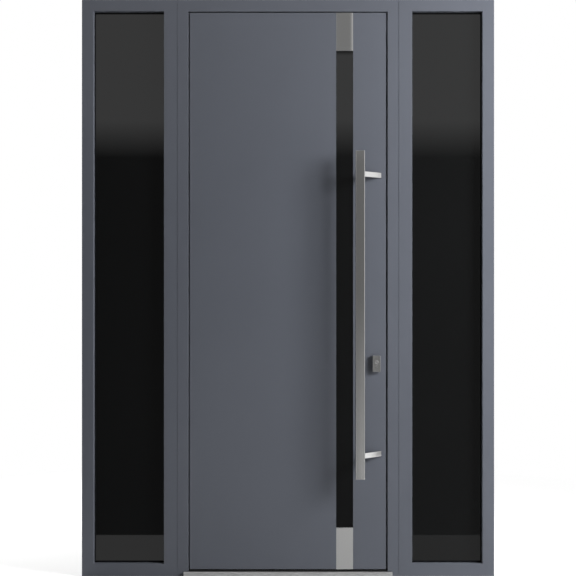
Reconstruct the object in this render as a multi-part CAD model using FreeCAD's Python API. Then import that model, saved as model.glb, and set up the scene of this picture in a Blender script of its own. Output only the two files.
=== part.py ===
import FreeCAD, Part
import os

# Front door with a fixed glazed sidelight on each side, all sizes in millimetres.
# X runs to the right seen from outside, Y from outside to inside, Z up.
# Y = 0 is the outer face of the frames, and the origin is at floor level, mid width.

# Overall sizes
total_height = 2605.0
door_frame_width = 1000.0
sidelight_width = 431.0
frame_depth = 75.0
joint_gap = 1.5
joint_recess = 2.0
edge_break = 1.0

# Faces of the sidelight frames and their glazing
outer_jamb_face = 53.0
inner_jamb_face = 60.0
sidelight_head_face = 52.0
sidelight_sill_face = 57.0
glazing_lip = 25.0
glazing_rebate = 20.0
outer_gasket = 5.0
inner_gasket = 3.0
gasket_width = 9.0
gasket_setback = 1.0
pane_thickness = 6.0
pane_cavity = 16.0
pane_cover = 15.0
spacer_inset = 2.0
spacer_width = 9.0
bead_end_gap = 0.5
bead_slope = 5.0

# Wall fixings through the outer jambs
fixing_radius = 5.5
fixing_end = 252.5
fixing_count = 4

# Door frame and threshold
door_jamb_face = 49.75
door_head_face = 54.0
door_lip = 22.0
door_rebate = 21.5
seal_thickness = 5.0
seal_width = 10.0
seal_setback = 3.0
seal_base = 2.0
seal_flange = 2.0
threshold_height = 21.5
threshold_nose = 10.0
threshold_edge = 2.0
rib_count = 5
rib_pitch = 7.0
rib_groove_width = 3.0
rib_groove_depth = 1.2
threshold_seal_groove = 2
threshold_seal_width = 9.0
threshold_seal_height = 7.5

# Leaf and the gaps around it
hinge_gap = 5.0
lock_gap = 7.5
top_gap = 5.0
bottom_gap = 10.5
leaf_step = 32.0
leaf_overlap = 20.5
skin = 3.0
stile_width = 80.0
top_rail_height = 80.0
bottom_rail_height = 100.0
bottom_seal_clearance = 5.0
bottom_seal_depth = 12.0

# Glazed slot and the steel inlays above and below it
slot_edge = 147.8
slot_width = 76.7
top_inlay_height = 172.0
bottom_inlay_height = 188.0
slot_pane_cover = 12.0
slot_pane_clearance = 3.0
slot_outer_pane = 6.0
slot_middle_pane = 4.0
slot_cavity = 14.0
slot_spacer_width = 8.0
slot_trim_wall = 4.0
inlay_thickness = 1.0
inlay_gap = 0.3

# Pull bar on two slanted posts
bar_width = 42.0
bar_depth = 20.0
bar_length = 1460.0
bar_edge_radius = 4.5
bar_end_break = 0.8
bar_inset = 121.0
bar_centre_z = 1182.5
bar_clearance = 70.0
post_spacing = 1257.0
post_width = 32.0
post_height = 25.0
post_edge_radius = 1.5
post_foot_inset = 37.0

# Lock, lever and hinges
lock_inset = 43.0
plug_z = 969.0
plug_radius = 8.5
cylinder_tail_radius = 5.0
cylinder_tail_drop = 19.5
cylinder_clearance = 0.5
cylinder_projection = 3.0
cylinder_recess = 1.0
key_slot_width = 2.0
key_slot_height = 9.0
key_slot_depth = 4.0
escutcheon_width = 36.0
escutcheon_height = 74.0
escutcheon_thickness = 15.0
escutcheon_drop = 8.0
escutcheon_edge = 2.0
rose_radius = 26.0
rose_thickness = 8.0
rose_edge = 2.0
lever_rise = 92.0
lever_radius = 10.0
lever_reach = 50.0
lever_bend = 18.0
lever_length = 118.0
lever_tip_break = 1.5
faceplate_width = 24.0
faceplate_thickness = 3.0
faceplate_setback = 6.0
faceplate_bottom_margin = 128.0
faceplate_top_margin = 646.0
bolt_width = 12.0
bolt_height = 34.0
bolt_depth = 20.0
bolt_clearance = 1.0
hinge_axis_inset = 3.0
hinge_axis_stand_off = 12.0
hinge_bottom_margin = 218.0
hinge_top_margin = 196.0
knuckle_radius = 9.0
knuckle_length = 39.5
leaf_knuckle_length = 70.0
knuckle_gap = 0.5
pin_radius = 5.0
pin_clearance = 0.3
pin_cap = 4.0
hinge_plate = 5.0
hinge_plate_margin = 12.0
frame_plate_width = 17.0
leaf_plate_width = 30.0

# Places worked out from the sizes above
half_width = door_frame_width / 2 + sidelight_width
door_frame_edge = door_frame_width / 2 - joint_gap / 2
opening_edge = door_frame_edge - door_jamb_face
rebate_edge = opening_edge + door_rebate
head_sight = total_height - door_head_face
leaf_left = -opening_edge + hinge_gap
leaf_right = opening_edge - lock_gap
leaf_bottom = threshold_height + bottom_gap
leaf_top = head_sight - top_gap
leaf_wide_right = leaf_right + leaf_overlap
slot_right = leaf_right - slot_edge
slot_left = slot_right - slot_width
slot_bottom = leaf_bottom + bottom_inlay_height
slot_top = leaf_top - top_inlay_height
bar_centre_x = leaf_right - bar_inset
post_foot_x = leaf_right - post_foot_inset
lock_x = leaf_right - lock_inset
lever_z = plug_z + lever_rise
plate_y = leaf_step + faceplate_setback
plate_bottom = leaf_bottom + faceplate_bottom_margin
plate_top = leaf_top - faceplate_top_margin
hinge_axis_x = hinge_axis_inset - rebate_edge
hinge_axis_y = frame_depth + hinge_axis_stand_off
hinge_bottom = leaf_bottom + hinge_bottom_margin
hinge_top = leaf_top - hinge_top_margin
hinge_heights = [hinge_bottom, (hinge_bottom + hinge_top) / 2, hinge_top]
edge_tolerance = 1e-6


def box(x0, x1, y0, y1, z0, z1):
    return Part.makeBox(x1 - x0, y1 - y0, z1 - z0, FreeCAD.Vector(x0, y0, z0))


def cylinder_y(radius, x, z, y0, y1):
    start = FreeCAD.Vector(x, y0, z)
    return Part.makeCylinder(radius, y1 - y0, start, FreeCAD.Vector(0, 1, 0))


def cylinder_z(radius, x, y, z0, z1):
    return Part.makeCylinder(radius, z1 - z0, FreeCAD.Vector(x, y, z0))


def extruded(points, along):
    return Part.Face(Part.makePolygon(points + points[:1])).extrude(along)


def upright(section, z0, z1):
    """A bar standing on z0, with its section given as (x, y) points."""
    points = [FreeCAD.Vector(x, y, z0) for x, y in section]
    return extruded(points, FreeCAD.Vector(0, 0, z1 - z0))


def crossbar(section, x0, x1):
    """A bar lying along X, with its section given as (z, y) points."""
    points = [FreeCAD.Vector(x0, y, z) for z, y in section]
    return extruded(points, FreeCAD.Vector(x1 - x0, 0, 0))


def ring(x0, x1, z0, z1, width, y0, y1):
    outside = box(x0, x1, y0, y1, z0, z1)
    return outside.cut(box(x0 + width, x1 - width, y0, y1, z0 + width, z1 - width))


def rebated_section(back, sight, lip, rebate):
    """Frame profile from its back to its sight line, with a lip on the outer side."""
    inward = 1 if sight > back else -1
    wall = sight - inward * rebate
    return [
        (back, 0),
        (sight - inward * edge_break, 0),
        (sight, edge_break),
        (sight, lip),
        (wall, lip),
        (wall, frame_depth),
        (back, frame_depth),
    ]


def bead_section(sight, outward, y0):
    """Glazing bead on a rebate wall, with its room side edge sloped back."""
    wall = sight + outward * glazing_rebate
    return [
        (wall, y0),
        (sight, y0),
        (sight, frame_depth - bead_slope),
        (sight + outward * bead_slope, frame_depth),
        (wall, frame_depth),
    ]


def sidelight_pieces():
    """The left sidelight, piece by piece. The right one is its mirror image."""
    outer = -half_width
    inner = -door_frame_width / 2 - joint_gap / 2
    left = outer + outer_jamb_face
    right = inner - inner_jamb_face
    bottom = sidelight_sill_face
    top = total_height - sidelight_head_face

    outer_jamb = upright(rebated_section(outer, left, glazing_lip, glazing_rebate), 0, total_height)
    fixing_pitch = (total_height - 2 * fixing_end) / (fixing_count - 1)
    for i in range(fixing_count):
        start = FreeCAD.Vector(outer, frame_depth / 2, fixing_end + i * fixing_pitch)
        hole = Part.makeCylinder(fixing_radius, outer_jamb_face, start, FreeCAD.Vector(1, 0, 0))
        outer_jamb = outer_jamb.cut(hole)
    inner_jamb = upright(rebated_section(inner, right, glazing_lip, glazing_rebate), 0, total_height)
    jambs = outer_jamb.fuse(inner_jamb)
    wall_left = left - glazing_rebate
    wall_right = right + glazing_rebate
    head = crossbar(rebated_section(total_height, top, glazing_lip, glazing_rebate), wall_left, wall_right)
    sill = crossbar(rebated_section(0, bottom, glazing_lip, glazing_rebate), wall_left, wall_right)

    glass_y = glazing_lip + outer_gasket
    cavity_y = glass_y + pane_thickness
    inner_pane_y = cavity_y + pane_cavity
    inner_gasket_y = inner_pane_y + pane_thickness
    bead_y = inner_gasket_y + inner_gasket
    x0, x1 = left - pane_cover, right + pane_cover
    z0, z1 = bottom - pane_cover, top + pane_cover
    outer_pane = box(x0, x1, glass_y, cavity_y, z0, z1)
    inner_pane = box(x0, x1, inner_pane_y, inner_gasket_y, z0, z1)
    spacer = ring(
        x0 + spacer_inset, x1 - spacer_inset, z0 + spacer_inset, z1 - spacer_inset,
        spacer_width, cavity_y, inner_pane_y,
    )
    reach = gasket_setback + gasket_width
    gaskets = [
        ring(left - reach, right + reach, bottom - reach, top + reach, gasket_width, y0, y1)
        for y0, y1 in ((glazing_lip, glass_y), (inner_gasket_y, bead_y))
    ]
    bead_bottom = bottom + bead_end_gap
    bead_top = top - bead_end_gap
    beads = [
        crossbar(bead_section(top, 1, bead_y), wall_left, wall_right),
        crossbar(bead_section(bottom, -1, bead_y), wall_left, wall_right),
        upright(bead_section(left, -1, bead_y), bead_bottom, bead_top),
        upright(bead_section(right, 1, bead_y), bead_bottom, bead_top),
    ]
    coupling = box(
        inner, inner + joint_gap, joint_recess, frame_depth - joint_recess, 0, total_height
    )
    return {
        "sidelight_outer_jamb": outer_jamb,
        "sidelight_inner_jamb": inner_jamb,
        "sidelight_head": head.cut(jambs),
        "sidelight_sill": sill.cut(jambs),
        "glass_panes": Part.makeCompound([outer_pane, inner_pane]),
        "glass_spacer": spacer,
        "glazing_gaskets": Part.makeCompound(gaskets),
        "glazing_beads": Part.makeCompound(beads),
        "coupling_strip": coupling,
    }


def round_ended_plate(x0):
    """Lock strip lying against a rebate wall, as long as the lock case and its rods."""
    x1 = x0 + faceplate_thickness
    radius = faceplate_width / 2
    middle = plate_y + radius
    plate = box(x0, x1, plate_y, plate_y + faceplate_width, plate_bottom + radius, plate_top - radius)
    for z in (plate_bottom + radius, plate_top - radius):
        start = FreeCAD.Vector(x0, middle, z)
        plate = plate.fuse(Part.makeCylinder(radius, faceplate_thickness, start, FreeCAD.Vector(1, 0, 0)))
    return plate.removeSplitter()


def bolt_blocks(x0, x1, growth):
    """The deadbolt beside the cylinder and the latch beside the lever, or their windows."""
    middle = plate_y + faceplate_width / 2
    across = bolt_width / 2 + growth
    upward = bolt_height / 2 + growth
    return Part.makeCompound(
        [
            box(x0, x1, middle - across, middle + across, z - upward, z + upward)
            for z in (plug_z, lever_z)
        ]
    )


def groove_box(number, x_end):
    """One grip groove of the threshold, counted from its nose."""
    y0 = -threshold_nose + threshold_edge + rib_groove_width + number * rib_pitch
    return box(
        -x_end, x_end, y0, y0 + rib_groove_width, threshold_height - rib_groove_depth, threshold_height
    )


def threshold():
    """Low sill between the jambs' rebate walls, with grip grooves along its nose."""
    section = [
        (0, -threshold_nose),
        (threshold_height - threshold_edge, -threshold_nose),
        (threshold_height, -threshold_nose + threshold_edge),
        (threshold_height, frame_depth),
        (0, frame_depth),
    ]
    sill = crossbar(section, -rebate_edge, rebate_edge)
    for i in range(rib_count):
        sill = sill.cut(groove_box(i, rebate_edge))
    return sill


def threshold_seal():
    """Rubber strip pressed into a grip groove, rounded where the leaf passes over it."""
    tongue = groove_box(threshold_seal_groove, opening_edge)
    middle = tongue.CenterOfMass.y
    top = threshold_height + threshold_seal_height
    half = threshold_seal_width / 2
    strip = box(-opening_edge, opening_edge, middle - half, middle + half, threshold_height, top)
    crown = [
        e for e in strip.Edges
        if all(abs(v.Z - top) < edge_tolerance for v in e.Vertexes)
        and e.BoundBox.XLength > edge_tolerance
    ]
    return strip.makeFillet(half - edge_break / 2, crown).fuse(tongue)


def seal_hoop(setback, width, y0, y1):
    """Rubber along both jambs and the head, a setback behind their sight lines."""
    inside = opening_edge + setback
    outside = inside + width
    under = head_sight + setback
    hoop = box(-outside, outside, y0, y1, threshold_height, under + width)
    return hoop.cut(box(-inside, inside, y0, y1, threshold_height, under))


def door_seal():
    """Flat base pressed against the lip, with a rounded bulb that meets the leaf."""
    base_y = door_lip + seal_base
    bulb_y = door_lip + seal_thickness
    base = seal_hoop(seal_setback, seal_width, door_lip, base_y)
    bulb_width = seal_width - 2 * seal_flange
    bulb = seal_hoop(seal_setback + seal_flange, bulb_width, base_y, bulb_y)
    crown = [
        e for e in bulb.Edges
        if all(abs(v.Y - bulb_y) < edge_tolerance for v in e.Vertexes)
        and any(v.Z > threshold_height + edge_tolerance for v in e.Vertexes)
    ]
    bulb = bulb.makeFillet(min(bulb_width / 2, bulb_y - base_y) - edge_break / 2, crown)
    return base.fuse(bulb)


def door_frame_pieces():
    keep_blank = round_ended_plate(rebate_edge)
    keep = keep_blank.cut(bolt_blocks(rebate_edge, rebate_edge + faceplate_thickness, bolt_clearance))
    section = rebated_section(-door_frame_edge, -opening_edge, door_lip, door_rebate)
    foot_notch = box(-rebate_edge, -opening_edge, 0, door_lip, 0, threshold_height)
    hinge_jamb = upright(section, 0, total_height).cut(foot_notch)
    lock_jamb = hinge_jamb.mirror(FreeCAD.Vector(0, 0, 0), FreeCAD.Vector(1, 0, 0))
    head = crossbar(
        rebated_section(total_height, head_sight, door_lip, door_rebate), -rebate_edge, rebate_edge
    )
    return {
        "door_hinge_jamb": hinge_jamb,
        "door_lock_jamb": lock_jamb.cut(keep_blank),
        "door_head": head.cut(hinge_jamb.fuse(lock_jamb)),
        "threshold": threshold(),
        "threshold_seal": threshold_seal(),
        "door_seal": door_seal(),
        "strike_plate": keep,
    }


def hinge_halves(z):
    """Three knuckle hinge on the room side. The pin stays in the frame half."""
    x, y = hinge_axis_x, hinge_axis_y
    arm_y = frame_depth + hinge_plate / 2
    arm_top = y + knuckle_radius
    half = leaf_knuckle_length / 2
    low = half + knuckle_gap
    high = low + knuckle_length

    plate_face = frame_depth + hinge_plate
    edge = x - hinge_plate_margin
    frame_half = box(edge - frame_plate_width, edge, frame_depth, plate_face, z - high, z + high)
    for z0, z1 in ((z - high, z - low), (z + low, z + high)):
        frame_half = frame_half.fuse(box(edge - hinge_plate, x, arm_y, arm_top, z0, z1))
        frame_half = frame_half.fuse(cylinder_z(knuckle_radius, x, y, z0, z1))
    frame_half = frame_half.fuse(cylinder_z(pin_radius, x, y, z - high - pin_cap, z + high + pin_cap))

    edge = x + hinge_plate_margin
    leaf_half = box(edge, edge + leaf_plate_width, frame_depth, plate_face, z - high, z + high)
    leaf_half = leaf_half.fuse(box(x, edge + hinge_plate, arm_y, arm_top, z - half, z + half))
    leaf_half = leaf_half.fuse(cylinder_z(knuckle_radius, x, y, z - half, z + half))
    leaf_half = leaf_half.cut(cylinder_z(pin_radius + pin_clearance, x, y, z - half, z + half))
    return frame_half.removeSplitter(), leaf_half.removeSplitter()


def cylinder_profile(growth, y0, y1):
    """Profile cylinder along Y: a round plug over a narrower rounded tail."""
    plug = cylinder_y(plug_radius + growth, lock_x, plug_z, y0, y1)
    tail_z = plug_z - cylinder_tail_drop
    tail_half = cylinder_tail_radius + growth
    tail = cylinder_y(tail_half, lock_x, tail_z, y0, y1)
    web = box(lock_x - tail_half, lock_x + tail_half, y0, y1, tail_z, plug_z)
    return plug.fuse(tail).fuse(web).removeSplitter()


def leaf_pieces():
    """Stepped leaf: a perimeter frame and a core between two bonded skins."""
    wide_left, wide_right = leaf_left - leaf_overlap, leaf_wide_right
    wide_top = leaf_top + leaf_overlap
    back = frame_depth - skin
    blank = box(leaf_left, leaf_right, skin, leaf_step, leaf_bottom, leaf_top)
    blank = blank.fuse(box(wide_left, wide_right, leaf_step, back, leaf_bottom, wide_top)).removeSplitter()
    in_left, in_right = leaf_left + stile_width, leaf_right - stile_width
    in_bottom, in_top = leaf_bottom + bottom_rail_height, leaf_top - top_rail_height
    lock_hole = cylinder_profile(cylinder_clearance, 0, frame_depth)

    hinge_stile = blank.common(box(wide_left, in_left, skin, back, leaf_bottom, wide_top))
    lock_stile = blank.common(box(in_right, wide_right, skin, back, leaf_bottom, wide_top))
    top_rail = blank.common(box(in_left, in_right, skin, back, in_top, wide_top))
    bottom_rail = blank.common(box(in_left, in_right, skin, back, leaf_bottom, in_bottom))
    faceplate = round_ended_plate(wide_right - faceplate_thickness)
    bolt_pockets = bolt_blocks(wide_right - bolt_depth, wide_right, bolt_clearance)

    # The slot's triple glazing lies behind the outer skin, and a trim lines it indoors.
    x0, x1 = slot_left - slot_pane_cover, slot_right + slot_pane_cover
    z0, z1 = slot_bottom - slot_pane_cover, slot_top + slot_pane_cover
    thicknesses = (slot_outer_pane, slot_middle_pane, slot_outer_pane)
    panes, spacers = [], []
    y = skin
    for thickness in thicknesses:
        panes.append(box(x0, x1, y, y + thickness, z0, z1))
        y += thickness + slot_cavity
    glass_back = y - slot_cavity
    for y0 in (skin + slot_outer_pane, glass_back - slot_outer_pane - slot_cavity):
        spacers.append(
            ring(
                x0 + spacer_inset, x1 - spacer_inset, z0 + spacer_inset, z1 - spacer_inset,
                slot_spacer_width, y0, y0 + slot_cavity,
            )
        )
    trim_left, trim_right = slot_left - slot_trim_wall, slot_right + slot_trim_wall
    trim_bottom, trim_top = slot_bottom - slot_trim_wall, slot_top + slot_trim_wall
    trim = ring(trim_left, trim_right, trim_bottom, trim_top, slot_trim_wall, glass_back, frame_depth)
    room = slot_pane_clearance
    core = box(in_left, in_right, skin, back, in_bottom, in_top)
    core = core.cut(box(x0 - room, x1 + room, skin, glass_back, z0 - room, z1 + room))
    core = core.cut(box(trim_left, trim_right, glass_back, back, trim_bottom, trim_top))

    outer_skin = box(leaf_left, leaf_right, 0, skin, leaf_bottom, leaf_top)
    outer_edges = [
        e for e in outer_skin.Edges if all(abs(v.Y) < edge_tolerance for v in e.Vertexes)
    ]
    outer_skin = outer_skin.makeChamfer(edge_break, outer_edges)
    outer_skin = outer_skin.cut(box(slot_left, slot_right, 0, skin, slot_bottom, slot_top))
    inlays = []
    for low, high in ((slot_top, leaf_top), (leaf_bottom, slot_bottom)):
        outer_skin = outer_skin.cut(box(slot_left, slot_right, 0, inlay_thickness, low, high))
        inlays.append(
            box(slot_left + inlay_gap, slot_right - inlay_gap, 0, inlay_thickness, low, high)
        )
    inner_skin = box(wide_left, wide_right, back, frame_depth, leaf_bottom, wide_top)
    inner_skin = inner_skin.cut(box(trim_left, trim_right, back, frame_depth, trim_bottom, trim_top))
    seal_y = (leaf_step + back - bottom_seal_depth) / 2
    bottom_seal = box(
        in_left, in_right, seal_y, seal_y + bottom_seal_depth,
        threshold_height + bottom_seal_clearance, leaf_bottom,
    )
    return {
        "leaf_outer_skin": outer_skin.cut(lock_hole),
        "leaf_inner_skin": inner_skin.cut(lock_hole),
        "leaf_hinge_stile": hinge_stile,
        "leaf_lock_stile": lock_stile.cut(faceplate).cut(bolt_pockets).cut(lock_hole),
        "leaf_top_rail": top_rail,
        "leaf_bottom_rail": bottom_rail,
        "leaf_core": core,
        "slot_panes": Part.makeCompound(panes),
        "slot_spacers": Part.makeCompound(spacers),
        "slot_inner_trim": trim,
        "top_inlay": inlays[0],
        "bottom_inlay": inlays[1],
        "lock_faceplate": faceplate.cut(bolt_pockets),
        "lock_bolts": bolt_blocks(wide_right - bolt_depth, wide_right, 0),
        "leaf_bottom_seal": bottom_seal,
    }


def pull_handle():
    """Long flat bar held off the leaf by two posts that slant towards the lock edge."""
    back = -bar_clearance
    left = bar_centre_x - bar_width / 2
    bottom = bar_centre_z - bar_length / 2
    bar = box(left, left + bar_width, back - bar_depth, back, bottom, bottom + bar_length)
    long_edges = [e for e in bar.Edges if abs(e.Length - bar_length) < edge_tolerance]
    bar = bar.makeFillet(bar_edge_radius, long_edges)
    ends = (bottom, bottom + bar_length)
    end_edges = [
        e for e in bar.Edges
        if any(all(abs(v.Z - z) < edge_tolerance for v in e.Vertexes) for z in ends)
    ]
    bar = bar.makeChamfer(bar_end_break, end_edges)

    half = post_width / 2
    section = [
        (post_foot_x - half, 0),
        (post_foot_x + half, 0),
        (bar_centre_x + half, back),
        (bar_centre_x - half, back),
    ]
    posts = []
    for side in (-1, 1):
        z = bar_centre_z + side * post_spacing / 2
        post = upright(section, z - post_height / 2, z + post_height / 2)
        slanted = [e for e in post.Edges if abs(e.BoundBox.YLength - bar_clearance) < edge_tolerance]
        posts.append(post.makeFillet(post_edge_radius, slanted))
    return {"pull_bar": bar, "pull_posts": Part.makeCompound(posts)}


def rose(z):
    """Round cover on the room side, with its front rim turned back."""
    face = frame_depth + rose_thickness
    disc = cylinder_y(rose_radius, lock_x, z, frame_depth, face)
    rim = [e for e in disc.Edges if e.BoundBox.YMin > face - edge_tolerance]
    return disc.makeChamfer(rose_edge, rim)


def lock_pieces():
    """Outside escutcheon, through cylinder, two inside roses and the inside lever."""
    rose_face = frame_depth + rose_thickness
    centre_z = plug_z - escutcheon_drop
    x0 = lock_x - escutcheon_width / 2
    z0 = centre_z - escutcheon_height / 2
    escutcheon = box(
        x0, x0 + escutcheon_width, -escutcheon_thickness, 0, z0, z0 + escutcheon_height
    )
    edges = [
        e for e in escutcheon.Edges if any(v.Y < -edge_tolerance for v in e.Vertexes)
    ]
    escutcheon = escutcheon.makeFillet(escutcheon_edge, edges)
    front = -escutcheon_thickness - cylinder_projection
    cylinder = cylinder_profile(0, front, rose_face - cylinder_recess)
    key_slot = box(
        lock_x - key_slot_width / 2, lock_x + key_slot_width / 2, front, front + key_slot_depth,
        plug_z - key_slot_height / 2, plug_z + key_slot_height / 2,
    )
    opening = cylinder_profile(cylinder_clearance, -escutcheon_thickness, rose_face)
    cylinder_rose, lever_rose = rose(plug_z), rose(lever_z)

    # The lever leaves its rose, turns through a quarter circle and runs to the hinge side.
    arm_y = rose_face + lever_reach
    start = FreeCAD.Vector(lock_x, rose_face, lever_z)
    bend_start = FreeCAD.Vector(lock_x, arm_y - lever_bend, lever_z)
    diagonal = lever_bend * 0.5 ** 0.5
    bend_middle = FreeCAD.Vector(
        lock_x - lever_bend + diagonal, arm_y - lever_bend + diagonal, lever_z
    )
    bend_end = FreeCAD.Vector(lock_x - lever_bend, arm_y, lever_z)
    end = FreeCAD.Vector(lock_x - lever_length, arm_y, lever_z)
    path = Part.Wire(
        [
            Part.LineSegment(start, bend_start).toShape(),
            Part.Arc(bend_start, bend_middle, bend_end).toShape(),
            Part.LineSegment(bend_end, end).toShape(),
        ]
    )
    circle = Part.Wire(Part.Circle(start, FreeCAD.Vector(0, 1, 0), lever_radius).toShape())
    lever = path.makePipeShell([circle], True, False)
    tip = [e for e in lever.Edges if abs(e.BoundBox.XMax - end.x) < edge_tolerance]
    return {
        "outside_escutcheon": escutcheon.cut(opening),
        "lock_cylinder": cylinder.cut(key_slot),
        "inside_roses": Part.makeCompound([cylinder_rose.cut(opening), lever_rose]),
        "inside_lever": lever.makeChamfer(lever_tip_break, tip),
    }


def hinge_pieces():
    pairs = [hinge_halves(z) for z in hinge_heights]
    return {
        "frame_hinge_halves": Part.makeCompound([pair[0] for pair in pairs]),
        "leaf_hinge_halves": Part.makeCompound([pair[1] for pair in pairs]),
    }


def all_pieces():
    pieces = {}
    for name, shape in sidelight_pieces().items():
        pieces["left_" + name] = shape
        pieces["right_" + name] = shape.mirror(FreeCAD.Vector(0, 0, 0), FreeCAD.Vector(1, 0, 0))
    pieces.update(door_frame_pieces())
    pieces.update(leaf_pieces())
    pieces.update(pull_handle())
    pieces.update(lock_pieces())
    pieces.update(hinge_pieces())
    return pieces


os.makedirs("parts", exist_ok=True)
for node, solid in all_pieces().items():
    solid.exportStep("parts/" + node + ".step")
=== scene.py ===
import math

import bmesh
import bpy
from mathutils import Matrix, Vector


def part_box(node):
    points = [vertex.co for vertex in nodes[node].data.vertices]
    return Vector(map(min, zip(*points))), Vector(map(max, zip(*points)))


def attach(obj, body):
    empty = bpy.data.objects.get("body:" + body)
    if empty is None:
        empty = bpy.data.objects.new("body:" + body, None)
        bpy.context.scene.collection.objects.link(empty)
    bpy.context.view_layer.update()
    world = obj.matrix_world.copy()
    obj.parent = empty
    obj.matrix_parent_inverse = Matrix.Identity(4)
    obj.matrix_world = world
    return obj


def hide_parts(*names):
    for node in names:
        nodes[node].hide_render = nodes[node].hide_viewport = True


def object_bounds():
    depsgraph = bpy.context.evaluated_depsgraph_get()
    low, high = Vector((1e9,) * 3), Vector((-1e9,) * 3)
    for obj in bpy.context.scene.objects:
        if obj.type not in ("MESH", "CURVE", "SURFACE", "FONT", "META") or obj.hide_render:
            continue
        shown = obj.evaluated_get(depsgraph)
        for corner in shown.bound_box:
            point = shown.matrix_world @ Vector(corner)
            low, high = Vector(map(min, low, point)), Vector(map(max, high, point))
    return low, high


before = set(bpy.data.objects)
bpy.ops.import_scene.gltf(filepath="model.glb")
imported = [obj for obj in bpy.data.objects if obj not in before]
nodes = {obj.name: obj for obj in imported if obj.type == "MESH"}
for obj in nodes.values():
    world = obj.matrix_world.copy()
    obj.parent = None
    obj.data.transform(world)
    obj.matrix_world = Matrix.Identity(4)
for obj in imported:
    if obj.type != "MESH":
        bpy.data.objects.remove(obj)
cad_low, cad_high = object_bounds()
scene = bpy.context.scene

# The viewer stands square in front of the set, level with the middle of its height and
# far enough away that the reveals hardly open up. The set fills the height of the frame.
seen_share = 0.9988
view_distance = 4.9
sensor_width = 36.0
set_height = cad_high.z - cad_low.z
front_view = bpy.data.cameras.new("front_view")
front_view.sensor_width = sensor_width
front_view.lens = sensor_width * view_distance / (set_height * seen_share)
viewer = bpy.data.objects.new("front_view", front_view)
viewer.location = (0.0, -view_distance, cad_low.z + set_height / 2)
viewer.rotation_euler = (math.radians(90), 0.0, 0.0)
scene.collection.objects.link(viewer)
scene.camera = viewer
scene.view_settings.view_transform = "Standard"

# A soft box stands high on the right, so the pull bar throws a soft shadow down to the
# left, and a weak one beside the set lightens its right part. A third lights the room
# side and the left edge, and stays behind the outer face.
high_watts = 266.0
side_watts = 33.0
room_watts = 330.0


def soft_box(name, place, target, width, height, watts):
    """A rectangular soft light turned to a point, which no surface mirrors."""
    lamp = bpy.data.lights.new(name, "AREA")
    lamp.shape = "RECTANGLE"
    lamp.size = width
    lamp.size_y = height
    lamp.energy = watts
    box = bpy.data.objects.new(name, lamp)
    box.location = place
    box.rotation_euler = (Vector(target) - Vector(place)).to_track_quat("-Z", "Y").to_euler()
    box.visible_glossy = False
    scene.collection.objects.link(box)


soft_box(
    "high_box", place=(3.3, -1.51, 2.62), target=(0.0, 0.0, 1.25),
    width=1.2, height=1.5, watts=high_watts,
)
soft_box(
    "side_box", place=(2.9, -0.8, 0.75), target=(0.0, 0.0, 0.6),
    width=0.8, height=1.4, watts=side_watts,
)
soft_box(
    "room_box", place=(-3.0, 3.2, 2.2), target=(0.0, 0.0, 1.3),
    width=2.0, height=2.0, watts=room_watts,
)

# The room around the set is white to the eye, to metal and to glass, and gives
# every surface a dim even light from all sides.
room_light = 0.018


class Wire:
    """A shader socket that takes part in sums, so that 1 - mask adds a Math node."""

    def __init__(self, tree, socket=None):
        self.tree = tree
        self.socket = socket

    def add(self, kind, settings, inputs, output=0):
        """One new node: its settings first, then the values or wires of its sockets."""
        made = self.tree.nodes.new(kind)
        for name, value in settings.items():
            setattr(made, name, value)
        for key, value in inputs.items():
            if isinstance(value, Wire):
                self.tree.links.new(value.socket, made.inputs[key])
            else:
                made.inputs[key].default_value = value
        return Wire(self.tree, made.outputs[output])

    def feed(self, shader, socket):
        """Links this wire to a socket of a shader."""
        self.tree.links.new(self.socket, shader.inputs[socket])

    def maths(self, operation, other):
        """This wire and another value, through a Math node."""
        return self.add("ShaderNodeMath", {"operation": operation}, {0: self, 1: other})

    def __add__(self, other):
        return self.maths("ADD", other)

    def __sub__(self, other):
        return self.maths("SUBTRACT", other)

    def __rsub__(self, other):
        return self.add("ShaderNodeMath", {"operation": "SUBTRACT"}, {0: other, 1: self})

    def __mul__(self, other):
        return self.maths("MULTIPLY", other)

    def __gt__(self, other):
        return self.maths("GREATER_THAN", other)

    def __lt__(self, other):
        return self.maths("LESS_THAN", other)

    __radd__ = __add__
    __rmul__ = __mul__


room = bpy.data.worlds.new("white_room")
room.use_nodes = True
room_rays = [
    Wire(room.node_tree).add("ShaderNodeLightPath", {}, {}, ray)
    for ray in ("Is Camera Ray", "Is Glossy Ray", "Is Transmission Ray")
]
room_seen = sum(room_rays).maths("MINIMUM", 1.0)
room_back = room.node_tree.nodes["Background"]
(room_light + room_seen * (1.0 - room_light)).feed(room_back, "Strength")
room_back.inputs["Color"].default_value = (1.0, 1.0, 1.0, 1.0)
scene.world = room

# A pale floor under the set. Metal and glass mirror it as it is lit, and the eye sees it
# lifted to white, all but the shadow of the set.
floor_reach = 14.0
floor_grey = (0.53, 0.53, 0.528, 1.0)
floor_rough = 0.9
floor_lift = 0.48
floor_fade_start = 1.6
floor_fade_length = 1.6


def stage_sheet(name, corner, opposite):
    """A flat stage sheet between two corners that differ on two axes."""
    corner = Vector(corner)
    opposite = Vector(opposite)
    reach = opposite - corner
    sheet = bmesh.new()
    bmesh.ops.create_grid(sheet, x_segments=1, y_segments=1, size=0.5)
    if reach.z:
        bmesh.ops.rotate(sheet, verts=sheet.verts, matrix=Matrix.Rotation(math.radians(90), 3, "X"))
    bmesh.ops.scale(sheet, verts=sheet.verts, vec=[abs(length) or 1.0 for length in reach])
    bmesh.ops.translate(sheet, verts=sheet.verts, vec=(corner + opposite) / 2)
    mesh = bpy.data.meshes.new(name)
    sheet.to_mesh(mesh)
    sheet.free()
    made = bpy.data.objects.new(name, mesh)
    scene.collection.objects.link(made)
    return made


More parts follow.
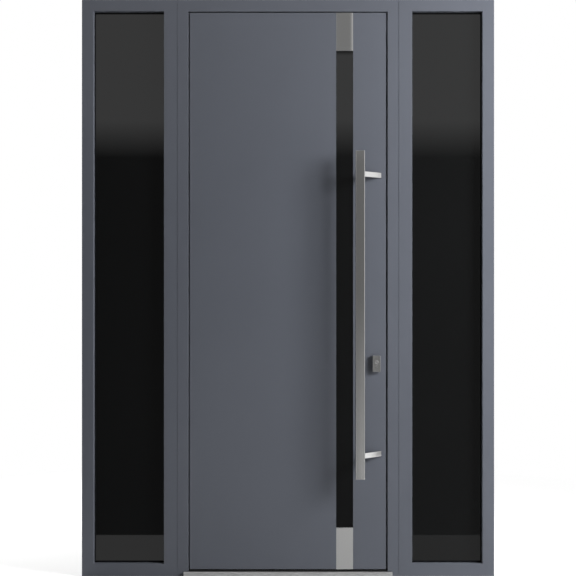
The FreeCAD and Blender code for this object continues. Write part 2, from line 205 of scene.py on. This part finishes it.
def new_finish(name):
    """An empty finish: its material, its shader and the place on the piece."""
    material = bpy.data.materials.new(name)
    material.use_nodes = True
    tree = material.node_tree
    place = Wire(tree).add("ShaderNodeTexCoord", {}, {}, "Object")
    return material, tree.nodes["Principled BSDF"], place


def risen(amount, start, length):
    """Goes from 0 to 1 as an amount rises from a start over a length."""
    share = (amount - start) * (1.0 / length)
    return share.add("ShaderNodeClamp", {}, {0: share})


def give_surface(material, shade):
    """Makes a wire that carries a shader the surface of a material."""
    shade.feed(material.node_tree.nodes["Material Output"], "Surface")


floor = stage_sheet(
    "floor", (-floor_reach, -floor_reach, cad_low.z), (floor_reach, floor_reach, cad_low.z),
)
floor_paint, floor_shader, floor_place = new_finish("floor_paint")
floor_shader.inputs["Base Color"].default_value = floor_grey
floor_shader.inputs["Roughness"].default_value = floor_rough
floor_shader.inputs["Specular IOR Level"].default_value = 0.0
floor_lit = Wire(floor_paint.node_tree, floor_shader.outputs[0])
floor_eye = floor_lit.add("ShaderNodeLightPath", {}, {}, "Is Camera Ray")
floor_away = floor_place.add("ShaderNodeVectorMath", {"operation": "LENGTH"}, {0: floor_place}, "Value")
floor_far = risen(floor_away, floor_fade_start, floor_fade_length)
floor_glow = floor_eye.add("ShaderNodeEmission", {}, {"Color": floor_eye * floor_lift})
floor_lifted = floor_lit.add("ShaderNodeAddShader", {}, {0: floor_lit, 1: floor_glow})
floor_white = floor_lit.add("ShaderNodeEmission", {}, {"Strength": 1.0})
floor_mix = floor_lit.add(
    "ShaderNodeMixShader", {}, {0: floor_eye * floor_far, 1: floor_lifted, 2: floor_white},
)
give_surface(floor_paint, floor_mix)
floor.data.materials.append(floor_paint)

# Dark screens stand before and behind the set, lighter towards the right and bright at the
# top. They glow with painted tones and light nothing: only polished surfaces pick them up, so
# they show only as painted reflections, and glass stays dark. A grey card and two long flags,
# lighter towards their feet, are painted into the same glow and give the steel its grey.
screen_reach = 6.0
screen_top = 7.0
near_screen_y = -1.0
near_screen_end = 1.35
room_screen_y = 4.4
screen_dark = 0.137
screen_tilt = 0.29
screen_least = 0.4
bright_light = 0.88
bright_from = 2.02
bright_length = 0.2
card_left = 0.245
card_right = 0.36
card_foot = 2.568
card_light = 0.285
flag_left = -0.62
flag_right = 0.487
flag_top = 2.72
flag_dark = 0.237
flag_light = 0.72
flag_foot = 0.35
flag_length = 0.9
soft_edge = 0.02


def between(amount, low, high):
    """1 between two ends and 0 beyond them, with soft edges."""
    return risen(amount, low, soft_edge) * (1.0 - risen(amount, high - soft_edge, soft_edge))


def mirrored_sheet(name, paint, corner, opposite):
    """A stage sheet that only polished surfaces mirror."""
    sheet = stage_sheet(name, corner, opposite)
    sheet.data.materials.append(paint)
    sheet.visible_camera = False
    sheet.visible_diffuse = False
    sheet.visible_shadow = False
    sheet.visible_transmission = False


painted_screen_glow, _, screen_place = new_finish("painted_screen_glow")
screen_across = screen_place.add("ShaderNodeSeparateXYZ", {}, {0: screen_place}, "X")
screen_height = screen_place.add("ShaderNodeSeparateXYZ", {}, {0: screen_place}, "Z")
screen_slope = screen_across * screen_tilt + 1.0
screen_tone = screen_slope.maths("MAXIMUM", screen_least) * screen_dark
bright_part = risen(screen_height, bright_from, bright_length)
screen_tone = screen_tone + bright_part * (bright_light - screen_tone)
card = between(screen_across, card_left, card_right) * risen(screen_height, card_foot, soft_edge)
screen_tone = screen_tone + card * (card_light - screen_tone)
flag_tone = flag_light - risen(screen_height, flag_foot, flag_length) * (flag_light - flag_dark)
flags = between(screen_across, flag_left, card_left) + between(screen_across, card_right, flag_right)
flags = flags * (1.0 - risen(screen_height, flag_top, soft_edge))
screen_tone = screen_tone + flags * (flag_tone - screen_tone)
# The painted tone is a glow that only reflections show.
give_surface(painted_screen_glow, screen_tone.add("ShaderNodeEmission", {}, {"Color": screen_tone}))
mirrored_sheet(
    "near_screen", painted_screen_glow, (-screen_reach, near_screen_y, cad_low.z),
    (near_screen_end, near_screen_y, screen_top),
)
mirrored_sheet(
    "room_screen", painted_screen_glow, (-screen_reach, room_screen_y, cad_low.z),
    (screen_reach, room_screen_y, screen_top),
)

# A bright screen carries on to the right of the near one. It glows and lights nothing, and the
# rounded right edges of the pull bar, its posts and the lock pick it up as a fine painted glint.
side_light = 1.3


def even_glow(name, strength):
    """A paint that glows evenly."""
    material, _, place = new_finish(name)
    give_surface(material, place.add("ShaderNodeEmission", {}, {"Strength": strength}))
    return material


# The side screen's glow is seen only as a painted glint on rounded steel edges.
mirrored_sheet(
    "side_screen", even_glow("side_glint_glow", side_light), (near_screen_end, near_screen_y, cad_low.z),
    (screen_reach, near_screen_y, screen_top),
)

# A grey sheet lies on the floor before each sidelight, with a dark strip between it and the
# near screen. Both glow and light nothing; glass picks them up as a painted reflection, so that
# its foot is a little lighter than the rest.
foot_lift = 0.001
foot_inner = 0.5
foot_outer = 1.25
foot_near_y = -0.1
foot_far_y = -0.755
left_foot_light = 0.645
right_foot_light = 0.455
foot_z = cad_low.z + foot_lift
for foot_name, foot_left, foot_right, foot_light in (
    ("left_foot", -foot_outer, -foot_inner, left_foot_light),
    ("right_foot", foot_inner, foot_outer, right_foot_light),
):
    # Each foot sheet glows with a painted tone that only the glass mirrors.
    mirrored_sheet(
        foot_name + "_sheet", even_glow(foot_name + "_paint", foot_light),
        (foot_left, foot_far_y, foot_z), (foot_right, foot_near_y, foot_z),
    )
    mirrored_sheet(
        foot_name + "_strip", painted_screen_glow,
        (foot_left, near_screen_y, foot_z), (foot_right, foot_far_y, foot_z),
    )

# Sidelight frames: jambs, head and sill sawn from one aluminium profile of two shells,
# powder coated slate grey. The plastic strip that parts the shells shows on its back.
slate_deep = (0.094, 0.1015, 0.1225)
slate_pale = (0.105, 0.1135, 0.136)
coat_rough = 0.4
coat_rough_clouds = 0.08
coat_rough_peel = 0.05
coat_specular = 0.34
plastic_black = (0.012, 0.012, 0.013)
plastic_rougher = 0.2


def noise(place, scale, detail=2.0):
    """A noise of a scale and a depth of detail, from 0 to 1."""
    return place.add("ShaderNodeTexNoise", {}, {"Vector": place, "Scale": scale, "Detail": detail})


def blended(amount, low, high):
    """Colour between two tints or wires, by an amount from 0 to 1."""
    ends = [tint if isinstance(tint, Wire) else (*tint, 1.0) for tint in (low, high)]
    return amount.add("ShaderNodeMix", {"data_type": "RGBA"}, {0: amount, 6: ends[0], 7: ends[1]}, 2)


def bumped(height, strength, distance):
    """A surface that rises and falls with a height by a distance in metres."""
    inputs = {"Height": height, "Strength": strength, "Distance": distance}
    return height.add("ShaderNodeBump", {}, inputs)


def finish_nodes(material, *names):
    """Gives solids that stay as they are their finish."""
    for name in names:
        for slot in nodes[name].material_slots:
            slot.material = material


def slate_coat(name, break_front=0.0, break_back=0.0):
    """Satin slate powder coat, with the black thermal break of a profile between two depths."""
    material, shader, place = new_finish(name)
    clouds = noise(place, scale=2.3, detail=3.0)
    peel = noise(place, scale=620.0)
    depth = place.add("ShaderNodeSeparateXYZ", {}, {0: place}, "Y")
    plastic = (depth > break_front) * (depth < break_back)
    blended(plastic, blended(clouds, slate_deep, slate_pale), plastic_black).feed(shader, "Base Color")
    coat_gloss = coat_rough + clouds * coat_rough_clouds + peel * coat_rough_peel
    (coat_gloss + plastic * plastic_rougher).feed(shader, "Roughness")
    bumped(peel, strength=0.12, distance=0.0002).feed(shader, "Normal")
    shader.inputs["Specular IOR Level"].default_value = coat_specular
    return material


profile_coat = slate_coat("profile_coat", break_front=0.0265, break_back=0.046)
for side in ("left_", "right_"):
    finish_nodes(
        profile_coat, side + "sidelight_outer_jamb", side + "sidelight_inner_jamb",
        side + "sidelight_head", side + "sidelight_sill",
    )

# Sidelight glazing: sealed units bedded in black rubber gaskets and held by clipped beads.
# The panes are opaque, and their near-black colour is painted shade that stands in for the
# dark room behind them. Float glass has a faint roller wave, which only its mirror shows.
glass_ior = 1.5
spacer_metallic = 0.6


def grained(name, low, high, rough, uneven, scale, detail):
    """A finish whose tone and gloss follow one grain: its material, its shader and the grain."""
    material, shader, place = new_finish(name)
    grain = noise(place, scale, detail)
    blended(grain, low, high).feed(shader, "Base Color")
    (rough + grain * uneven).feed(shader, "Roughness")
    return material, shader, grain


# Opaque near-black glass: the shade of the room behind the panes is painted into it.
glass_with_painted_shade, glass_shader, glass_wave = grained(
    "glass_with_painted_shade", low=(0.0018, 0.002, 0.0021), high=(0.003, 0.0033, 0.0034),
    rough=0.015, uneven=0.02, scale=1.7, detail=1.0,
)
bumped(glass_wave, strength=0.03, distance=0.002).feed(glass_shader, "Normal")
glass_shader.inputs["IOR"].default_value = glass_ior
finish_nodes(glass_with_painted_shade, "left_glass_panes", "right_glass_panes")

black_rubber, rubber_shader, rubber_grain = grained(
    "black_rubber", low=(0.01, 0.01, 0.011), high=(0.022, 0.022, 0.023),
    rough=0.62, uneven=0.2, scale=700.0, detail=3.0,
)
bumped(rubber_grain, strength=0.2, distance=0.0003).feed(rubber_shader, "Normal")
finish_nodes(black_rubber, "left_glazing_gaskets", "right_glazing_gaskets")

spacer_metal, spacer_shader, _ = grained(
    "spacer_metal", low=(0.03, 0.03, 0.031), high=(0.06, 0.06, 0.062),
    rough=0.38, uneven=0.15, scale=900.0, detail=2.0,
)
spacer_shader.inputs["Metallic"].default_value = spacer_metallic
finish_nodes(spacer_metal, "left_glass_spacer", "right_glass_spacer")

plain_coat = slate_coat("plain_coat")
finish_nodes(plain_coat, "left_glazing_beads", "right_glazing_beads")

# Coupling strips: flat bars screwed into the joint where a sidelight meets the door frame,
# set back from both faces so that the joint reads as a fine dark line.
finish_nodes(plain_coat, "left_coupling_strip", "right_coupling_strip")

# Door frame: two jambs and a head from the same kind of profile, with a lip outside and a
# deep rebate for the leaf. The thermal break shows in the rebate when the door is open.
finish_nodes(profile_coat, "door_hinge_jamb", "door_lock_jamb", "door_head")

# Door seal: a black rubber bulb pressed into the lip of the jambs and the head. It goes all
# round the leaf but for the threshold, which has a strip of its own.
finish_nodes(black_rubber, "door_seal")

# Threshold: a low sill of natural anodised aluminium, extruded with grip grooves, so fine
# die lines run along its whole length.
threshold_dull = (0.565, 0.565, 0.568)
threshold_bright = (0.66, 0.66, 0.663)
threshold_rough = 0.34
threshold_uneven = 0.14
die_lines = (3.0, 900.0, 900.0)


def streaks(place, scales):
    """Fine streaks: a noise with its own scale on each axis."""
    stretched = place.add("ShaderNodeMapping", {}, {"Vector": place, "Scale": scales})
    return noise(stretched, scale=1.0, detail=3.0)


threshold_metal, threshold_shader, threshold_place = new_finish("threshold_metal")
threshold_lines = streaks(threshold_place, die_lines)
blended(threshold_lines, threshold_dull, threshold_bright).feed(threshold_shader, "Base Color")
(threshold_rough + threshold_lines * threshold_uneven).feed(threshold_shader, "Roughness")
bumped(threshold_lines, strength=0.15, distance=0.0002).feed(threshold_shader, "Normal")
threshold_shader.inputs["Metallic"].default_value = 1.0
finish_nodes(threshold_metal, "threshold")

# Threshold strip: a black rubber bulb pressed into one of the grip grooves, which stops the
# draught under the leaf. A glued pad of the same rubber closes each corner up to the door seal.
pad_clearance = 0.0015
pad_depth = 0.0105
pad_rise = 0.02
pad_edge_radius = 0.0012


def block(shape, size, middle):
    """Adds a block to a shape and gives its corners."""
    corners = bmesh.ops.create_cube(shape, size=1.0)["verts"]
    bmesh.ops.scale(shape, verts=corners, vec=size)
    bmesh.ops.translate(shape, verts=corners, vec=middle)
    return corners


def rounded(shape, edges, radius, segments=4):
    """Rounds edges of a shape by a radius."""
    bmesh.ops.bevel(
        shape, geom=list(edges), offset=radius, offset_type="OFFSET", affect="EDGES",
        segments=segments, profile=0.5, material=-1, clamp_overlap=True,
    )


def new_piece(name, shape, material, body):
    """A finished mesh as a piece of the set, with even shading over its flats and edges."""
    sharp_angle = math.radians(40)
    for edge in shape.edges:
        edge.smooth = edge.calc_face_angle(0.0) < sharp_angle
    mesh = bpy.data.meshes.new(name)
    shape.to_mesh(mesh)
    shape.free()
    mesh.materials.append(material)
    for face in mesh.polygons:
        face.use_smooth = True
    piece = bpy.data.objects.new(name, mesh)
    scene.collection.objects.link(piece)
    piece.modifiers.new("even_shading", "WEIGHTED_NORMAL").keep_sharp = True
    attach(piece, body)
    return piece


finish_nodes(black_rubber, "threshold_seal")
strip_low, strip_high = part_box("threshold_seal")
skin_low, skin_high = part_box("leaf_outer_skin")
pad_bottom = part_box("threshold")[1].z
pad_shapes = bmesh.new()
for pad_start, pad_end in (
    (strip_low.x, skin_low.x - pad_clearance), (skin_high.x + pad_clearance, strip_high.x),
):
    block(
        pad_shapes, (pad_end - pad_start, pad_depth, pad_rise),
        ((pad_start + pad_end) / 2, strip_high.y + pad_depth / 2, pad_bottom + pad_rise / 2),
    )
rounded(pad_shapes, pad_shapes.edges, pad_edge_radius, segments=3)
new_piece("threshold_corner_pads", pad_shapes, black_rubber, "frame")

# Strike plate: a long stainless keep let in flush to the lock jamb's rebate, with a window
# for each bolt, held by a row of countersunk screws.
plate_end = 0.016
plate_screws = 8
head_radius = 0.0042
head_rim = 0.0039
head_depth = 0.0014
head_proud = 0.0004
socket_sides = 6
socket_radius = 0.0021
socket_depth = 0.0009
across_grain = 2600.0
along_grain = 12.0
handling_scale = 9.0


def brushed_steel(name, along, low, high, rough, uneven=0.05):
    """Stainless steel brushed along one axis: long fine streaks in tone, gloss and height."""
    material, shader, place = new_finish(name)
    brushing = streaks(place, [along_grain if axis == along else across_grain for axis in "xyz"])
    handling = noise(place, handling_scale)
    blended(brushing, low, high).feed(shader, "Base Color")
    (rough + brushing * uneven + handling * uneven).feed(shader, "Roughness")
    bumped(brushing, strength=0.012, distance=0.0001).feed(shader, "Normal")
    shader.inputs["Metallic"].default_value = 1.0
    return material


def placed_copies(whole, model, places, outward):
    """Adds a copy of a model, which stands on the XY plane, at each place along a direction."""
    loose = bpy.data.meshes.new("loose")
    model.to_mesh(loose)
    model.free()
    turn = Vector(outward).to_track_quat("Z", "Y").to_matrix().to_4x4()
    for place in places:
        known = set(whole.verts)
        whole.from_mesh(loose)
        added = [vert for vert in whole.verts if vert not in known]
        bmesh.ops.transform(whole, verts=added, matrix=Matrix.Translation(place) @ turn)
    bpy.data.meshes.remove(loose)


def screw_heads(name, centres, outward, body):
    """Countersunk screws with a hexagon socket, their heads a hair proud of the plate."""
    half_side = math.pi / socket_sides
    head = bmesh.new()
    bmesh.ops.create_cone(
        head, cap_ends=True, segments=4 * socket_sides, radius1=head_radius, radius2=head_rim,
        depth=head_depth,
    )
    top = max(head.faces, key=lambda face: face.calc_center_median().z)
    bmesh.ops.inset_individual(head, faces=[top], thickness=head_rim - socket_radius)
    for corner in top.verts:
        turn = math.atan2(corner.co.y, corner.co.x) % (2 * half_side) - half_side
        flat = math.cos(half_side) / math.cos(turn)
        corner.co.x *= flat
        corner.co.y *= flat
    socket = bmesh.ops.extrude_discrete_faces(head, faces=[top])["faces"][0]
    bmesh.ops.translate(head, verts=socket.verts, vec=(0.0, 0.0, -socket_depth))
    bmesh.ops.translate(head, verts=head.verts, vec=(0.0, 0.0, head_proud - head_depth / 2))
    heads = bmesh.new()
    placed_copies(heads, head, centres, outward)
    new_piece(name, heads, screw_steel, body)


lock_steel = brushed_steel("lock_steel", "z", (0.52, 0.52, 0.515), (0.6, 0.6, 0.595), rough=0.26)
screw_steel = brushed_steel("screw_steel", "y", (0.58, 0.58, 0.575), (0.65, 0.65, 0.645), rough=0.22)
finish_nodes(lock_steel, "strike_plate")
keep_low, keep_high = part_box("strike_plate")
keep_pitch = (keep_high.z - keep_low.z - 2 * plate_end) / (plate_screws - 1)
keep_heights = [keep_low.z + plate_end + i * keep_pitch for i in range(plate_screws)]
keep_middle = (keep_low.y + keep_high.y) / 2
keep_screws = [(keep_low.x, keep_middle, z) for z in keep_heights]
screw_heads("strike_plate_screws", keep_screws, (-1, 0, 0), "frame")

# Hinges, frame side: three halves with their pins, coated like the frame and screwed to
# the hinge jamb on the room side.
hinge_half_height = 0.075
hinge_pin_cap = 0.004
hinge_plate_face = 0.005
hinge_screw_rise = (-0.062, -0.022, 0.022, 0.062)
frame_screw_inset = 0.007
finish_nodes(plain_coat, "frame_hinge_halves")
frame_hinge_low, frame_hinge_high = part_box("frame_hinge_halves")
hinge_bottom = frame_hinge_low.z + hinge_pin_cap + hinge_half_height
hinge_top = frame_hinge_high.z - hinge_pin_cap - hinge_half_height
hinge_heights = (hinge_bottom, (hinge_bottom + hinge_top) / 2, hinge_top)
hinge_face_y = frame_hinge_low.y + hinge_plate_face


def hinge_screws(name, x, body):
    """A row of screws in the plate of each hinge half."""
    centres = [(x, hinge_face_y, z + rise) for z in hinge_heights for rise in hinge_screw_rise]
    screw_heads(name, centres, (0, 1, 0), body)


hinge_screws("frame_hinge_screws", frame_hinge_low.x + frame_screw_inset, "frame")

# Leaf frame: stiles and rails of thermally broken profile round a foam core, of which
# nothing shows once the skins are bonded on.
leaf_profile_coat = slate_coat("leaf_profile_coat", break_front=0.0345, break_back=0.05)
finish_nodes(
    leaf_profile_coat, "leaf_hinge_stile", "leaf_lock_stile", "leaf_top_rail", "leaf_bottom_rail",
)
core_foam, _, _ = grained(
    "core_foam", low=(0.42, 0.37, 0.22), high=(0.6, 0.54, 0.36),
    rough=0.85, uneven=0.1, scale=260.0, detail=3.0,
)
finish_nodes(core_foam, "leaf_core")

# Leaf skins: plain aluminium sheets bonded to the leaf frame and coated with it, the outer
# one cut out for the slot and let in for the inlays.
finish_nodes(plain_coat, "leaf_outer_skin", "leaf_inner_skin")

# Slot glazing: a narrow triple unit bonded behind the outer skin, with a coated trim that
# lines the opening on the room side.
# The slot panes take the same opaque glass, its near-black colour painted shade.
finish_nodes(glass_with_painted_shade, "slot_panes")
finish_nodes(spacer_metal, "slot_spacers")
finish_nodes(plain_coat, "slot_inner_trim")

# Inlays: thin stainless strips let in flush above and below the slot and bonded to the skin.
# They are polished, and only a faint lengthwise grain is left on them.
steel_low = (0.53, 0.53, 0.525)
steel_high = (0.6, 0.6, 0.595)
inlay_steel = brushed_steel("inlay_steel", "z", steel_low, steel_high, rough=0.02, uneven=0.02)
finish_nodes(inlay_steel, "top_inlay", "bottom_inlay")

# Pull bar: a long stainless tube of flat section with rounded edges, ground and brushed
# lengthwise. Its end plates are let in, and a hairline groove shows round them.
bar_edge_radius = 0.0045
bar_end_radius = 0.0008
bar_plate_rim = 0.002
bar_plate_groove = 0.0004
square_on = 0.99
upright_steel = brushed_steel("upright_steel", "z", steel_low, steel_high, rough=0.15)
bar_low, bar_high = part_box("pull_bar")
bar_size = bar_high - bar_low
bar_shape = bmesh.new()
block(bar_shape, bar_size, (bar_low + bar_high) / 2)
bar_edges = [edge for edge in bar_shape.edges if edge.calc_length() > bar_size.z / 2]
rounded(bar_shape, bar_edges, bar_edge_radius, segments=6)
bar_shape.normal_update()
bar_ends = [face for face in bar_shape.faces if abs(face.normal.z) > square_on]
rounded(bar_shape, [edge for face in bar_ends for edge in face.edges], bar_end_radius, segments=3)
bar_shape.normal_update()
bar_plates = [face for face in bar_shape.faces if abs(face.normal.z) > square_on]
bmesh.ops.inset_individual(bar_shape, faces=bar_plates, thickness=bar_plate_rim)
for groove_depth in (-bar_plate_groove, bar_plate_groove):
    bmesh.ops.inset_individual(
        bar_shape, faces=bar_plates, thickness=bar_plate_groove, depth=groove_depth,
    )
pull_bar = new_piece("pull_bar_flat", bar_shape, upright_steel, "leaf")
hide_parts("pull_bar")

# Pull posts: two short stainless blocks that slant from the bar to feet near the lock
# edge, bolted through the leaf from behind and brushed along their length.
post_width = 0.032
post_height = 0.025
post_edge_radius = 0.0015
post_steel = brushed_steel("post_steel", "x", steel_low, steel_high, rough=0.12)
post_low, post_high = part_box("pull_posts")
post_depth = post_high.y - post_low.y
post_heights = (post_low.z + post_height / 2, post_high.z - post_height / 2)
post_slant = Matrix.Identity(4)
post_slant[0][1] = (post_high.x - post_low.x - post_width) / post_depth
post_shapes = bmesh.new()
for post_z in post_heights:
    post_middle = ((post_low.x + post_high.x) / 2, (post_low.y + post_high.y) / 2, post_z)
    post_corners = block(post_shapes, (post_width, post_depth, post_height), (0.0, 0.0, 0.0))
    bmesh.ops.transform(
        post_shapes, verts=post_corners, matrix=Matrix.Translation(post_middle) @ post_slant,
    )
slanted_edges = [
    edge for edge in post_shapes.edges
    if abs(edge.verts[0].co.y - edge.verts[1].co.y) > post_depth / 2
]
rounded(post_shapes, slanted_edges, post_edge_radius)
pull_posts = new_piece("pull_post_blocks", post_shapes, post_steel, "leaf")
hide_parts("pull_posts")

# Pull fixings: the posts' through bolts end under turned stainless caps on the room side,
# each pressed over the bolt's nut.
cap_radius = 0.009
cap_height = 0.0035
cap_sunk = 0.0005
cap_shoulder = 0.0025
turn_steps = 32
shoulder_steps = 5


def turned(line, shoulder_radius):
    """Turns a closed line of (radius, height) points round the Z axis, its third corner rounded."""
    shape = bmesh.new()
    points = [shape.verts.new((away, 0.0, height)) for away, height in line]
    for first, second in zip(points, points[1:] + points[:1]):
        shape.edges.new((first, second))
    bmesh.ops.bevel(
        shape, geom=[points[2]], offset=shoulder_radius, offset_type="OFFSET", affect="VERTICES",
        segments=shoulder_steps, profile=0.5, material=-1,
    )
    bmesh.ops.spin(
        shape, geom=shape.verts[:] + shape.edges[:], cent=(0.0, 0.0, 0.0), axis=(0.0, 0.0, 1.0),
        angle=math.radians(360), steps=turn_steps, use_merge=True,
    )
    bmesh.ops.remove_doubles(shape, verts=shape.verts, dist=1e-6)
    bmesh.ops.dissolve_degenerate(shape, edges=shape.edges, dist=1e-7)
    bmesh.ops.recalc_face_normals(shape, faces=shape.faces)
    return shape


cap_model = turned(
    [(0.0, -cap_sunk), (cap_radius, -cap_sunk), (cap_radius, cap_height), (0.0, cap_height)],
    cap_shoulder,
)
cap_x = post_high.x - post_width / 2
cap_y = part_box("leaf_inner_skin")[1].y
cap_shapes = bmesh.new()
placed_copies(cap_shapes, cap_model, [(cap_x, cap_y, z) for z in post_heights], (0, 1, 0))
new_piece("pull_bolt_caps", cap_shapes, upright_steel, "leaf")

# Outside lock: a thick stainless escutcheon with rounded edges round the profile cylinder.
# A turned and nickel plated nose with a rounded shoulder stands on the cylinder's end at each
# side of the leaf, and the plug with its key slot turns inside it behind a fine groove.
nose_radius = 0.0083
nose_height = 0.0036
nose_sunk = 0.0005
nose_shoulder = 0.0029
plug_radius = 0.005
plug_groove = 0.0003
plug_groove_depth = 0.0005
key_slot_half_width = 0.0006
key_slot_half_height = 0.0037
key_slot_depth = 0.003
key_slot_straightness = 3.0
finish_nodes(upright_steel, "outside_escutcheon")
finish_nodes(screw_steel, "lock_cylinder")
nose_nickel = brushed_steel("nose_nickel", "y", (0.68, 0.68, 0.675), (0.75, 0.75, 0.745), rough=0.12)
groove_radius = plug_radius + plug_groove
groove_floor = nose_height - plug_groove_depth
nose_model = turned(
    [
        (0.0, -nose_sunk), (nose_radius, -nose_sunk), (nose_radius, nose_height),
        (groove_radius, nose_height), (groove_radius, groove_floor),
        (plug_radius, groove_floor), (plug_radius, nose_height), (0.0, nose_height),
    ],
    nose_shoulder,
)
plug_middle = max(nose_model.verts, key=lambda vert: vert.co.z - vert.co.xy.length)
plug_face = bmesh.ops.dissolve_faces(nose_model, faces=plug_middle.link_faces)["region"][0]
bmesh.ops.inset_individual(nose_model, faces=[plug_face], thickness=plug_radius / 2)
for corner in plug_face.verts:
    away = corner.co.xy.normalized()
    across = max(-1.0, min(1.0, key_slot_straightness * away.x))
    corner.co = (across * key_slot_half_width, away.y * key_slot_half_height, nose_height)
slot_floor = bmesh.ops.extrude_discrete_faces(nose_model, faces=[plug_face])["faces"][0]
bmesh.ops.translate(nose_model, verts=slot_floor.verts, vec=(0.0, 0.0, -key_slot_depth))
bmesh.ops.recalc_face_normals(nose_model, faces=nose_model.faces)
cylinder_low, cylinder_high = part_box("lock_cylinder")
plug_x = (cylinder_low.x + cylinder_high.x) / 2
plug_z = cylinder_high.z - (cylinder_high.x - cylinder_low.x) / 2
nose_shapes = bmesh.new()
placed_copies(nose_shapes, nose_model.copy(), [(plug_x, cylinder_low.y, plug_z)], (0, -1, 0))
placed_copies(nose_shapes, nose_model, [(plug_x, cylinder_high.y, plug_z)], (0, 1, 0))
new_piece("cylinder_noses", nose_shapes, nose_nickel, "leaf")

# Inside lock: a stainless lever and two round roses, brushed like the pull outside. A turned
# collar on the upper rose carries the lever's neck.
collar_radius = 0.0135
collar_bore = 0.0095
collar_height = 0.0045
collar_sunk = 0.0005
collar_shoulder = 0.002
lever_steel = brushed_steel("lever_steel", "x", steel_low, steel_high, rough=0.24)
finish_nodes(lever_steel, "inside_lever")
finish_nodes(upright_steel, "inside_roses")
lever_low, lever_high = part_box("inside_lever")
lever_thickness = lever_high.z - lever_low.z
collar_model = turned(
    [
        (collar_bore, -collar_sunk), (collar_radius, -collar_sunk), (collar_radius, collar_height),
        (collar_bore, collar_height),
    ],
    collar_shoulder,
)
collar_place = (lever_high.x - lever_thickness / 2, lever_low.y, (lever_low.z + lever_high.z) / 2)
collar_shapes = bmesh.new()
placed_copies(collar_shapes, collar_model, [collar_place], (0, 1, 0))
new_piece("lever_collar", collar_shapes, upright_steel, "leaf")

# Lock in the leaf edge: a long stainless faceplate with countersunk screws, a square
# deadbolt beside the cylinder and a bevelled latch beside the lever, both drawn in.
bolt_height = 0.034
bolt_edge_radius = 0.0008
latch_slope = 0.009
finish_nodes(lock_steel, "lock_faceplate")
faceplate_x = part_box("lock_faceplate")[1].x
screw_heads("faceplate_screws", [(faceplate_x, keep_middle, z) for z in keep_heights], (1, 0, 0), "leaf")
bolt_low, bolt_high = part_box("lock_bolts")
bolt_size = (bolt_high.x - bolt_low.x, bolt_high.y - bolt_low.y, bolt_height)
bolt_x = (bolt_low.x + bolt_high.x) / 2
bolt_y = (bolt_low.y + bolt_high.y) / 2
bolt_shapes = bmesh.new()
for bolt_z, slope in (
    (bolt_low.z + bolt_height / 2, 0.0), (bolt_high.z - bolt_height / 2, latch_slope),
):
    for corner in block(bolt_shapes, bolt_size, (bolt_x, bolt_y, bolt_z)):
        if corner.co.x > bolt_x and corner.co.y < bolt_y:
            corner.co.x -= slope
rounded(bolt_shapes, bolt_shapes.edges, bolt_edge_radius, segments=3)
lock_bolts = new_piece("drawn_bolts", bolt_shapes, lock_steel, "leaf")
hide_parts("lock_bolts")

# Hinges, leaf side: three halves that turn on the pins of the frame's halves, coated like
# the leaf and screwed to its inner face.
leaf_screw_inset = 0.009
finish_nodes(plain_coat, "leaf_hinge_halves")
hinge_screws("leaf_hinge_screws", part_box("leaf_hinge_halves")[1].x - leaf_screw_inset, "leaf")

# Bottom seal: a black rubber strip with three thin lips, slid into the leaf's bottom rail.
# The lips hang clear of the threshold, so that the door swings freely.
holder_height = 0.002
lip_root = 0.0018
lip_tip = 0.0007
lip_shares = (1 / 6, 1 / 2, 5 / 6)
seal_low, seal_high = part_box("leaf_bottom_seal")
seal_size = seal_high - seal_low
seal_x = (seal_low.x + seal_high.x) / 2
seal_y = (seal_low.y + seal_high.y) / 2
lip_rows = [seal_low.y + seal_size.y * share for share in lip_shares]
lip_length = seal_size.z - holder_height
seal_shape = bmesh.new()
block(
    seal_shape, (seal_size.x, seal_size.y, holder_height),
    (seal_x, seal_y, seal_high.z - holder_height / 2),
)
for row in lip_rows:
    for cut_y in (row - lip_root / 2, row + lip_root / 2):
        whole = seal_shape.verts[:] + seal_shape.edges[:] + seal_shape.faces[:]
        bmesh.ops.bisect_plane(
            seal_shape, geom=whole, plane_co=(0.0, cut_y, 0.0), plane_no=(0.0, 1.0, 0.0),
        )
seal_shape.normal_update()
lip_roots = [
    face for face in seal_shape.faces
    if face.normal.z < -square_on
    and min(abs(face.calc_center_median().y - row) for row in lip_rows) < lip_root / 2
]
for tip in bmesh.ops.extrude_discrete_faces(seal_shape, faces=lip_roots)["faces"]:
    bmesh.ops.translate(seal_shape, verts=tip.verts, vec=(0.0, 0.0, -lip_length))
    narrowed = Matrix.Translation(-tip.calc_center_median())
    bmesh.ops.scale(seal_shape, verts=tip.verts, vec=(1.0, lip_tip / lip_root, 1.0), space=narrowed)
seal_strip = new_piece("bottom_seal_lips", seal_shape, black_rubber, "leaf")
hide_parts("leaf_bottom_seal")
